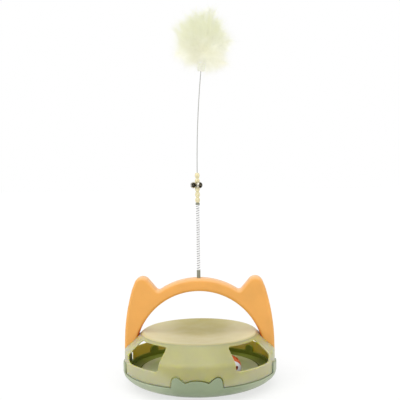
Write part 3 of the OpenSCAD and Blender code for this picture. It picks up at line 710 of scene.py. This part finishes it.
# Cover: quarter from the front tab's middle to the right tab's middle, with a window between
def tab_half(groove):
    """Half outline of a cat-head tab, from its middle to its foot, as (across, height)."""
    rise = TAB_BROW_Z - TAB_NOTCH[1]
    brow_r = (TAB_NOTCH[0] ** 2 + rise ** 2) / (2 * rise)
    brow_end = math.degrees(math.acos(TAB_NOTCH[0] / brow_r)) + ARC_STOP
    brow = arc((0, TAB_BROW_Z - brow_r), brow_r, 90, brow_end, 8)
    foot = (TAB_FOOT, RIM_Z)
    notch_r, tip_r = 2, 6.5
    path = brow + corner(brow[-1], TAB_NOTCH, TAB_TIP, notch_r, 6)
    path += corner(TAB_NOTCH, TAB_TIP, foot, tip_r, 12) + [foot]
    return moved_right(path, -groove) if groove else path


cover_profile = Profile((COVER_R, RIM_Z + PART_GAP), (COVER_R, SHOULDER_Z), (SHOULDER_TOP_R, SEAT_Z),
                        SHOULDER_ROUND)


def cover_face(u, v):
    r, z = cover_profile.at(v)
    return Vector((r * math.sin(u / COVER_R), -r * math.cos(u / COVER_R), z))


def cover_quarter():
    quarter = COVER_R * TAU / 4

    def at(x, z, turn=0.0):
        v = cover_profile.length_at(z)
        return COVER_R * (turn + math.asin(x / cover_profile.at(v)[0])), v

    half = [p for p in tab_half(TAB_GROOVE) if p[1] > RIM_Z + PART_GAP + 0.3]
    half.append((half[-1][0] + 0.2, RIM_Z + PART_GAP))
    half = dense(half, FINE_PITCH)
    left = [at(x, z) for x, z in half]
    right = [(quarter - u, v) for u, v in reversed(left)]
    bottom = left[:-1] + dense([left[-1], right[0]], EDGE_PITCH) + right[1:]
    top = dense([(quarter, cover_profile.length), (0, cover_profile.length)], EDGE_PITCH)
    low_edge, top_edge = 0.9, 0.3

    def edge(place):
        return top_edge if place[1] > cover_profile.length - 0.1 else low_edge

    seam_v = (left[0][1] + low_edge, cover_profile.length - top_edge)
    rising = dense([(quarter, seam_v[0]), (quarter, seam_v[1])], EDGE_PITCH)
    falling = [(0, v) for _, v in reversed(rising)]
    w, sill, head, r = WINDOW_HALF_W, WINDOW_SILL_Z, WINDOW_HEAD_Z, WINDOW_ROUND
    head_w = w - (head - SHOULDER_Z) * WINDOW_LEAN
    window = rounded([(-w, sill, r), (-w, SHOULDER_Z, r), (-head_w, head, r), (head_w, head, r),
                      (w, SHOULDER_Z, r), (w, sill, r)])
    window = [at(x, z, math.radians(WINDOW_ANGLE)) for x, z in dense(window, FINE_PITCH, True)]
    return panel(cover_face, COVER_WALL,
                 [("rim", bottom), ("seam", rising[1:-1]), ("rim", top), ("seam", falling[1:-1])],
                 [window], edge, inner_edge=0.6)


cover = make("cover_shell_moulding", *mirrored_quarters(cover_quarter()), KHAKI)
# Outer faces take the copy with painted light, inner faces the plain khaki
cover.data.materials.append(KHAKI_PAINTED_LIGHT)
for face in cover.data.polygons:
    face.material_index = int(face.normal.xy.dot(face.center.xy) > 0)
settle(cover, "base", "cover_shell")


# Base bowl: quarter with half a tab at each end, a screw hole and its part of the flat bottom
class BowlProfile:
    """Quarter ellipse from the flat bottom up to the rim, then upright, by its length."""

    def __init__(self):
        steps, upright = 200, 30
        turns = np.linspace(0, math.pi / 2, steps)
        self.r = np.append(FLAT_R + BOWL_RUN * np.sin(turns), BASE_R)
        self.z = np.append(RIM_Z - (RIM_Z - BOTTOM_Z) * np.cos(turns), RIM_Z + upright)
        self.s = np.append(0, np.cumsum(np.hypot(np.diff(self.r), np.diff(self.z))))

    def at(self, s):
        step = (s - self.s[0]) / (self.s[1] - self.s[0])
        if step < 1:
            return self.r[0] + step * (self.r[1] - self.r[0]), self.z[0]
        return np.interp(s, self.s, self.r), np.interp(s, self.s, self.z)

    def length_at(self, r):
        """How far along the path a radius is reached."""
        return float(np.interp(r, self.r, self.s))


bowl_profile = BowlProfile()


def bowl_face(u, v):
    """The bowl's outer face, raised a little over the width of a tab."""
    r, z = bowl_profile.at(v)
    turn = u / BASE_R
    across = BASE_R * math.sin(min(turn % (TAU / 4), TAU / 4 - turn % (TAU / 4)))
    step = (TAB_FOOT + TAB_STEP_END - across) / (TAB_STEP_END - TAB_STEP_START)
    low_run = 20
    fade = max(0, min(1, step)) * max(0, min(1, v / low_run))
    r += TAB_PROUD * fade - TAB_PROUD
    return Vector((r * math.sin(turn), -r * math.cos(turn), z))


def bowl_quarter():
    quarter = BASE_R * TAU / 4
    rim_v = float(bowl_profile.s[-2])
    left = [(BASE_R * math.asin(x / BASE_R), rim_v + z - RIM_Z)
            for x, z in dense(tab_half(0), FINE_PITCH)]
    right = [(quarter - u, v) for u, v in left]
    top = right[:-1] + dense([right[-1], left[-1]], EDGE_PITCH) + list(reversed(left[:-1]))
    edge = 0.8
    seam_v = left[0][1] - edge
    low = dense([(0, 0), (quarter, 0)], 8)
    rising = dense([(quarter, 0), (quarter, seam_v)], EDGE_PITCH)
    falling = [(0, v) for _, v in reversed(rising)]
    screw_v = bowl_profile.length_at(BASE_SCREW_R)
    hole = [(quarter / 2 + BASE_R / BASE_SCREW_R * SCREW_HOLE_R * math.sin(a),
             screw_v + SCREW_HOLE_R * math.cos(a)) for a in np.linspace(0, TAU, 24, endpoint=False)]
    lines = [BASE_R * math.asin((TAB_FOOT + d) / BASE_R)
             for d in (TAB_STEP_START, TAB_STEP_MIDDLE, TAB_STEP_END)]
    lines += [quarter - u for u in lines]
    creases = [(u, v) for u in lines for v in np.arange(FINE_PITCH, rim_v - 2, FINE_PITCH)]
    side = panel(bowl_face, BASE_WALL,
                 [("seam", low), ("seam", rising[1:-1]), ("rim", top), ("seam", falling[1:-1])],
                 [hole], edge, inner_edge=0.6, pitch=5.0, creases=creases)
    verts, faces = [], []
    m, rings = len(low), 5
    for z in (BOTTOM_Z, BOTTOM_Z + BASE_WALL):
        first = len(verts)
        for k in range(rings):
            r = (FLAT_R - TAB_PROUD) * (1 - k / rings)
            verts += [(r * math.sin(u / BASE_R), -r * math.cos(u / BASE_R), z) for u, v in low]
        verts.append((0, 0, z))
        for k in range(rings - 1):
            a = first + k * m
            faces += [(a + i, a + i + 1, a + m + i + 1, a + m + i) for i in range(m - 1)]
        a = first + (rings - 1) * m
        faces += [(a + i, a + i + 1, a + m) for i in range(m - 1)]
    return joined(side, (verts, faces))


bowl = make("base_bowl_moulding", *quarters(bowl_quarter()), SAGE)
settle(bowl, "base", "base_bowl")


# Dish pressed into the top of the cover
def dish_profile():
    rim_top = SEAT_Z + DISH_RIM_H
    r = (DISH_R ** 2 + DISH_FALL ** 2) / (2 * DISH_FALL)
    centre = (0, rim_top - DISH_ROLL - DISH_FALL + r)
    inner, rim_run, rim_r = DISH_R - 0.3, 9, 4
    edge_a = math.degrees(math.asin((DISH_R - rim_run) / r))
    under_a = math.degrees(math.asin(inner / (r + DISH_WALL)))
    under = arc(centre, r + DISH_WALL, -90, under_a - 90, 24)
    face = arc(centre, r, edge_a - 90, -90, 24)
    foot = (SHOULDER_TOP_R, SEAT_Z + 0.05)
    outer, skirt_z = DISH_R + DISH_STEP, SEAT_Z - DISH_SKIRT
    path = under + [(inner, skirt_z), (outer, skirt_z), (outer, SEAT_Z), foot]
    path += corner(foot, (SHOULDER_TOP_R - DISH_RIM_H / SLOPE, rim_top), face[0], rim_r, 12)
    return path + face


dish = make("top_dish_moulding", *lathe(dish_profile(), 192), DISH_KHAKI)
settle(dish, "base", "top_dish")


# Handle: two half shells that meet in the middle
def handle_outline():
    sunk = LEG_SUNK * math.sqrt(1 + SLOPE ** 2)

    def seat(x):
        return SHOULDER_Z + (COVER_R - x) * SLOPE - sunk

    grip_z = GRIP_TOP_Z - GRIP_HALF_H
    out_a = math.degrees(math.atan((EAR[1] - LEG_Z) / LEG_BOW))
    # Where the ear's inner flank meets the arch
    steep = math.tan(math.radians(FLANK - 90))
    flank = arc(EAR, EAR_R, FLANK, FLANK, 1)[0]
    arch = (0, ARCH_TOP_Z - ARCH_R)
    line = flank[1] - steep * flank[0] - arch[1]
    square = 1 + steep ** 2
    x = (math.sqrt(square * ARCH_R ** 2 - line ** 2) - steep * line) / square
    notch = (x, steep * x + line + arch[1])
    notch_a = math.degrees(math.acos(x / ARCH_R))
    # Outer side from foot to crown
    foot = seat(LEG_X)
    heights = np.linspace(foot, EAR[1] - 6, 44)
    leg = [(LEG_X - (z - LEG_Z) ** 2 / (2 * LEG_BOW), z) for z in heights]
    side = leg + arc(EAR, EAR_R, out_a + ARC_STOP, FLANK, 22)
    crown = arc(arch, ARCH_R, notch_a + ARC_STOP, 90, 26)
    side += corner(flank, notch, crown[0], NOTCH_R, 8) + crown[:-1]
    outer = side + [(0, ARCH_TOP_Z)] + [(-a, b) for a, b in reversed(side)]
    # Inner side, an ellipse down to where it meets the seat
    rise = seat(0) - grip_z
    stretch = (GRIP_HALF_H / GRIP_HALF_W) ** 2 + SLOPE ** 2
    root = math.sqrt((SLOPE * rise) ** 2 - stretch * (rise ** 2 - GRIP_HALF_H ** 2))
    x = (SLOPE * rise + root) / stretch
    end = math.asin((seat(x) - grip_z) / GRIP_HALF_H)
    grip = [(GRIP_HALF_W * math.cos(a), grip_z + GRIP_HALF_H * math.sin(a))
            for a in np.linspace(math.pi - end, end, 100)]
    return dense(outer + grip, 3.2, True), foot


def circle(place, r):
    return [(place[0] + r * math.sin(a), place[1] + r * math.cos(a))
            for a in np.linspace(0, TAU, 24, endpoint=False)]


shape, foot_z = handle_outline()


def handle_edge(place):
    """Radius of the handle's edge, small at the pointed outer feet, which are inside the shoulder."""
    from_foot = math.dist((abs(place[0]), place[1]), (LEG_X, foot_z))
    return min(HANDLE_EDGE, FINE_EDGE + EDGE_GROWTH * from_foot)


def rear_edge(place):
    """The same at the back, and a fine edge round the screw holes."""
    hole = min(math.dist(place, screw) for screw in SCREW_PLACES)
    return FINE_EDGE if hole < SCREW_HOLE_R + 0.8 else handle_edge(place)


def handle_half(side, holes, edge):
    """Front half where side is -1, rear half where it is 1."""
    def face(u, v):
        return Vector((-side * u, side * HALF_DEPTH, v))

    return panel(face, HALF_DEPTH - HALF_GAP, [("loop", shape)], holes, edge, inner_edge=0.3,
                 pitch=5.0, steps=8)


rear_holes = [circle(place, SCREW_HOLE_R) for place in SCREW_PLACES]
handle_front = make("handle_front_moulding", *handle_half(-1, (), handle_edge), ORANGE)
handle_rear = make("handle_rear_moulding", *handle_half(1, rear_holes, rear_edge), ORANGE)
bore = [(0, SOCKET_Z), (BUSH_BORE_R, SOCKET_Z), (BUSH_BORE_R, BUSH_TOP_Z), (STEM_BORE_R, BUSH_TOP_Z),
        (STEM_BORE_R, ARCH_TOP_Z + 2), (0, ARCH_TOP_Z + 2)]
carve((handle_front, handle_rear), lathe(bore, 64))
settle(handle_front, "base", "handle_front")
settle(handle_rear, "base", "handle_rear")


# Two-colour rattle ball with slots
def ball_face(u, v):
    rho = math.hypot(u, v)
    if rho < 1e-9:
        return Vector((0, 0, BALL_R))
    a = rho / BALL_R
    return BALL_R * Vector((math.sin(a) * u / rho, math.sin(a) * v / rho, math.cos(a)))


def ring_area(loop):
    """Area of a loop, below zero where it is clockwise."""
    return sum(a[0] * b[1] - b[0] * a[1] for a, b in zip(loop, loop[1:] + loop[:1])) / 2


def ball_half():
    seam = 0.12
    rim_rho = BALL_R * TAU / 4 - seam
    turns = np.linspace(0, TAU, 96, endpoint=False)
    rim = [(rim_rho * math.cos(a), rim_rho * math.sin(a)) for a in turns]
    w, l, r = SLOT_HALF_W, SLOT_HALF_L, SLOT_HALF_W - 0.05
    slot = rounded([(-w, -l, r), (-w, l, r), (w, l, r), (w, -l, r)])
    holes = []
    for k in range(SLOTS):
        hole = []
        for a, b in dense(slot, 1.2, True):
            p = math.radians(SLOT_ANGLE) - b / BALL_R
            turn = TAU * k / SLOTS + a / (BALL_R * math.sin(p))
            hole.append((BALL_R * p * math.cos(turn), BALL_R * p * math.sin(turn)))
        holes.append(hole if ring_area(hole) < 0 else hole[::-1])
    return panel(ball_face, BALL_WALL, [("loop", rim)], holes, edge=0.5, inner_edge=0.3,
                 pitch=2.0, steps=4)


half_ball = ball_half()
to_ball = (Matrix.Translation(BALL_PLACE) @ Matrix.Rotation(math.radians(-BALL_TILT), 4, "X")
           @ Matrix.Rotation(math.radians(BALL_TURN), 4, "Z"))
to_other = to_ball @ Matrix.Rotation(math.pi, 4, "X")
orange_half = make("ball_orange_shell", *turned(half_ball, to_ball), RED_ORANGE)
white_half = make("ball_white_shell", *turned(half_ball, to_other), WHITE)
settle(orange_half, "ball", "ball_orange_half")
settle(white_half, "ball", "ball_white_half")


# Teaser: spring, beads, wire and cap
def spring_path():
    steps = 24
    n = SPRING_TURNS * steps
    path = [(SPRING_R, 0, SPRING_Z)]
    for k in range(n + 1):
        a = TAU * k / steps
        path.append((SPRING_R * math.cos(a), SPRING_R * math.sin(a),
                     SPRING_Z + SPRING_WIRE + SPRING_PITCH * k / steps))
    return path + [(SPRING_R, 0, SPRING_TOP_Z)]


spring = make("coil_spring", *tube(spring_path(), SPRING_WIRE / 2, 10), SPRING_PAINTED_SHADE)
spring.data.materials.append(SPRING_PAINTED_HIGHLIGHT)
# Faces outside the coil take the painted shade, faces inside it the painted highlight
for face in spring.data.polygons:
    face.material_index = int(math.hypot(face.center.x, face.center.y) < SPRING_R * MM)
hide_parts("spring")
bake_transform(spring)


def bead(name, node, z):
    n = 24
    lead = 0.2
    bulge = [math.sin(math.pi * k / n) ** 0.8 for k in range(n + 1)]
    swell = [(BEAD_NECK_R + (BEAD_R - BEAD_NECK_R) * b, z + BEAD_H * k / n) for k, b in enumerate(bulge)]
    profile = [(WIRE_BORE_R, z + lead)] + swell + [(WIRE_BORE_R, z + BEAD_H - lead)]
    settle(make(name, *lathe(profile, 48), IVORY), "wand", node)


bead("bead_bottom_glaze", "bead_bottom", BEAD_Z)
bead("bead_lower_glaze", "bead_lower", BEAD_Z + BEAD_H)
bead("bead_middle_glaze", "bead_middle", BEAD_Z + 2 * BEAD_H)
bead("bead_upper_glaze", "bead_upper", BEND_Z - 2 * BEAD_H)
bead("bead_top_glaze", "bead_top", BEND_Z - BEAD_H)


def wire_path():
    path = [(0, 0, SPRING_TOP_Z + 1)]
    path += [(0, 0, z) for z in np.linspace(BEAD_Z, BEND_Z - 4, 8)]
    steps = 48
    for k in range(steps + 1):
        a = LEAN * k / steps
        path.append((BEND_R * (1 - math.cos(a)), 0, BEND_Z + BEND_R * math.sin(a)))
    end = Vector(path[-1]) + 6 * Vector((math.sin(LEAN), 0, math.cos(LEAN)))
    return path + [tuple(end)]


wire = make("teaser_wire_drawn", *tube(wire_path(), WIRE_R, 12), WIRE_STEEL)
settle(wire, "wand", "teaser_wire")

wire_top = Matrix.Translation((WIRE_BOW, 0, BEND_Z + WIRE_FREE)) @ Matrix.Rotation(LEAN, 4, "Y")
cap_foot, cap_top = (CAP_R - CAP_TAPER, 0), (CAP_R, CAP_H)
cap_in_r, cap_floor_z = CAP_R - CAP_WALL, CAP_H - CAP_DEPTH
cap_profile = [(WIRE_BORE_R, 0.3)] + corner((0, 0), cap_foot, cap_top, 2, 8)
cap_profile += corner(cap_foot, cap_top, (cap_in_r, CAP_H), 0.5, 5)
cap_profile += [(cap_in_r, CAP_H - 0.5), (cap_in_r - 0.4, cap_floor_z), (WIRE_BORE_R, cap_floor_z)]
plume_cap = make("plume_cap_moulding", *lathe(cap_profile, 64, wire_top), PALE_CAP)
settle(plume_cap, "wand", "plume_cap")


# Plume: fine barbs on soft fronds that fan out of the cap. A lobe has an angle, its reach and its width
PLUME_LOBES = [(78, 9, 15), (30, -7, 14), (150, 4, 18), (228, 6, 16), (262, -9, 14), (306, 19, 18),
               (338, 6, 14)]


def plume_reach(a):
    """How far the plume reaches from its middle at angles seen from the front, in degrees."""
    plain = 45.0
    reach = np.full_like(a, plain)
    for middle, extra, width in PLUME_LOBES:
        off = (a - middle + 180) % 360 - 180
        reach += extra * np.exp(-(off / width) ** 2)
    return reach


def plume():
    rng = np.random.default_rng(11)
    fronds, barbs = 84, 180
    lean = np.array([math.sin(LEAN), 0, math.cos(LEAN)])
    root = np.array([WIRE_BOW, 0, BEND_Z + WIRE_FREE]) + (CAP_H - 3) * lean
    middle = np.array([1.0, 0, 41])

    # Fronds: curved stems from the cap to tips spread evenly over the plume's outline
    k = np.arange(fronds) + 0.5
    rise = 1 - 2 * k / fronds
    turn = math.pi * (3 - math.sqrt(5)) * k
    out = np.sqrt(1 - rise ** 2)
    aims = np.stack([out * np.cos(turn), out * np.sin(turn), rise], 1)
    reach = plume_reach(np.degrees(np.arctan2(aims[:, 2], aims[:, 0])) % 360)
    reach *= rng.uniform(0.68, 0.95, fronds)
    tips = middle + aims * reach[:, None] * np.array([1, 0.9, 1.06])
    knees = np.array([0, 0, 16]) + 0.45 * aims * reach[:, None]
    knees = knees + np.array([0, 0, 10]) * (1 - rise[:, None])
    s = 0.16 + 0.84 * np.linspace(0, 1, barbs)[None, :, None] ** 0.6
    stems = 2 * s * (1 - s) * knees[:, None] + s * s * tips[:, None]
    slopes = 2 * (1 - 2 * s) * knees[:, None] + 2 * s * tips[:, None]
    slopes /= np.linalg.norm(slopes, axis=2)[:, :, None]

    # Barbs: thin tapering hairs, with a place along a stem and a side to go to
    along = np.repeat(s[:, :, 0], fronds, 0).reshape(-1)
    stems, slopes = stems.reshape(-1, 3), slopes.reshape(-1, 3)
    count = len(stems)
    stems = stems + rng.normal(0, 0.5, (count, 3))
    side = rng.normal(0, 1, (count, 3))
    side -= (side * slopes).sum(1)[:, None] * slopes
    side /= np.linalg.norm(side, axis=1)[:, None]
    length = (8 + 8 * np.sin(np.pi * along) ** 0.7 + 3 * along) * rng.uniform(0.55, 1.3, count)
    curl = rng.normal(0, 0.25, (count, 3))
    across = np.cross(slopes, side)
    level = np.cross(across, side)
    layers = []
    droop = 1.2
    for t, w in ((0, 0.15), (0.4, 0.13), (0.75, 0.09)):
        spine = stems + length[:, None] * (t * (0.5 * slopes + 0.8 * side)
                                           + t * t * (0.4 * slopes - 0.12 * side + curl))
        spine[:, 2] -= droop * t * t
        for j in range(3):
            a = TAU * j / 3
            layers.append(spine + w * (math.cos(a) * across + math.sin(a) * level))
    ends = stems + length[:, None] * (0.9 * slopes + 0.68 * side + curl)
    ends[:, 2] -= droop
    points = np.stack(layers + [ends], 1) + root

    # Faces of one barb: foot, two rings of sides and the tip
    pattern = [(2, 1, 0)]
    for low in (0, 3):
        pattern += [(low + j, low + (j + 1) % 3, low + 3 + (j + 1) % 3, low + 3 + j) for j in range(3)]
    pattern += [(6 + j, 6 + (j + 1) % 3, 9) for j in range(3)]
    faces = [tuple(10 * i + j for j in face) for i in range(count) for face in pattern]
    mesh = bpy.data.meshes.new("plume_down")
    mesh.from_pydata((points.reshape(-1, 3) * MM).tolist(), [], faces)
    mesh.polygons.foreach_set("use_smooth", [True] * len(mesh.polygons))
    mesh.materials.append(DOWN)
    return add_object("plume_down", mesh)


settle(plume(), "wand", "feather_plume")

# Better finishes for the solids that stay
finishes = {
    "rubber_feet": RUBBER, "base_screws": DARK_STEEL, "track_ring": RING_GREEN, "spindle_pin": STEEL,
    "thrust_washer": NYLON, "turntable": FLOOR_GREEN, "spindle_cap": FLOOR_GREEN, "ball_rattle": STEEL,
    "handle_screws": DARK_STEEL, "swivel_bush": NYLON, "spring_ferrule": GREY_METAL,
    "retaining_clip": STEEL, "spring_cap": GREY_METAL, "bell_left": LEFT_BELL_PAINTED_SHADE, "bell_right": RIGHT_BELL_PAINTED_SHADE,
    "bell_left_pellet": DARK_STEEL, "bell_right_pellet": DARK_STEEL,
}
for node, finish in finishes.items():
    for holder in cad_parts[node].material_slots:
        holder.material = finish


# Floor, light and camera
def seen_rays(tree, low, high):
    """Value that is high for rays from the camera, a gloss or a clear piece, and low for others."""
    ray = tree.nodes.new("ShaderNodeLightPath").outputs
    seen = ray["Is Camera Ray"]
    for name in ("Is Glossy Ray", "Is Transmission Ray"):
        seen = add_node(tree, "ShaderNodeMath", {0: seen, 1: ray[name]}, operation="MAXIMUM").outputs[0]
    return span(tree, seen, 0.0, 1.0, low, high)


floor_mat, floor_tree, floor_shader, floor_place = begin("pale_floor")
speckle = ramp(floor_tree, noise(floor_tree, floor_place, 30, 3),
               (0.96, 0.96, 0.955, 1), (0.98, 0.98, 0.975, 1))
fill(floor_tree, floor_shader, {"Base Color": speckle, "Roughness": 0.9, "Specular IOR Level": 0.1})
glow = floor_tree.nodes.new("ShaderNodeEmission").outputs["Emission"]
show_mix(floor_tree, seen_rays(floor_tree, 0.0, 0.7), floor_shader.outputs["BSDF"], glow)
FLOOR_HALF = 6
square = [(-1, -1), (1, -1), (1, 1), (-1, 1)]
floor_mesh = bpy.data.meshes.new("floor")
floor_mesh.from_pydata([(FLOOR_HALF * x, FLOOR_HALF * y, 0) for x, y in square], [], [(0, 1, 2, 3)])
floor_mesh.materials.append(floor_mat)
floor = add_object("floor", floor_mesh)

world = bpy.data.worlds.new("studio")
bpy.context.scene.world = world
world.use_nodes = True
sky = world.node_tree
fill(sky, sky.nodes["Background"], {"Color": (1, 1, 1, 1), "Strength": seen_rays(sky, 0.5, 1.0)})
SOFTBOX_ANGLE = math.radians(75)


def softbox(name, towards, energy):
    lamp = bpy.data.lights.new(name, "SUN")
    lamp.energy = energy
    lamp.angle = SOFTBOX_ANGLE
    add_object(name, lamp).rotation_euler = Vector(towards).to_track_quat("Z", "Y").to_euler()


softbox("softbox_front", (-0.1, -0.48, 0.87), 1.66)
softbox("softbox_back", (0, 0.5, 0.86), 0.2)
softbox("softbox_left", (-0.87, -0.2, 0.45), 0.5)
softbox("softbox_right", (0.87, -0.2, 0.45), 0.26)

# The camera's place, turn and lens are fitted to the photograph
PICTURE_PX = 400
FOCAL_PX = 764
SENSOR = 36
CAMERA_PLACE = (0.0484919, -1.1951517, 0.365)
yaw, pitch, roll = math.radians(2.1403), math.radians(3.5967), math.radians(0.8182)
camera_data = bpy.data.cameras.new("camera")
camera_data.lens = FOCAL_PX / PICTURE_PX * SENSOR
camera_data.sensor_width = SENSOR
camera = add_object("camera", camera_data)
ahead = Vector((-math.sin(yaw) * math.cos(pitch), math.cos(yaw) * math.cos(pitch), -math.sin(pitch)))
right = Vector((math.cos(yaw), math.sin(yaw), 0))
up = right.cross(ahead)
axes = Matrix((math.cos(roll) * right - math.sin(roll) * up,
               math.sin(roll) * right + math.cos(roll) * up, -ahead)).transposed()
camera.matrix_world = Matrix.Translation(CAMERA_PLACE) @ axes.to_4x4()
bpy.context.scene.camera = camera
bpy.context.scene.view_settings.view_transform = "Standard"

bpy.context.view_layer.update()
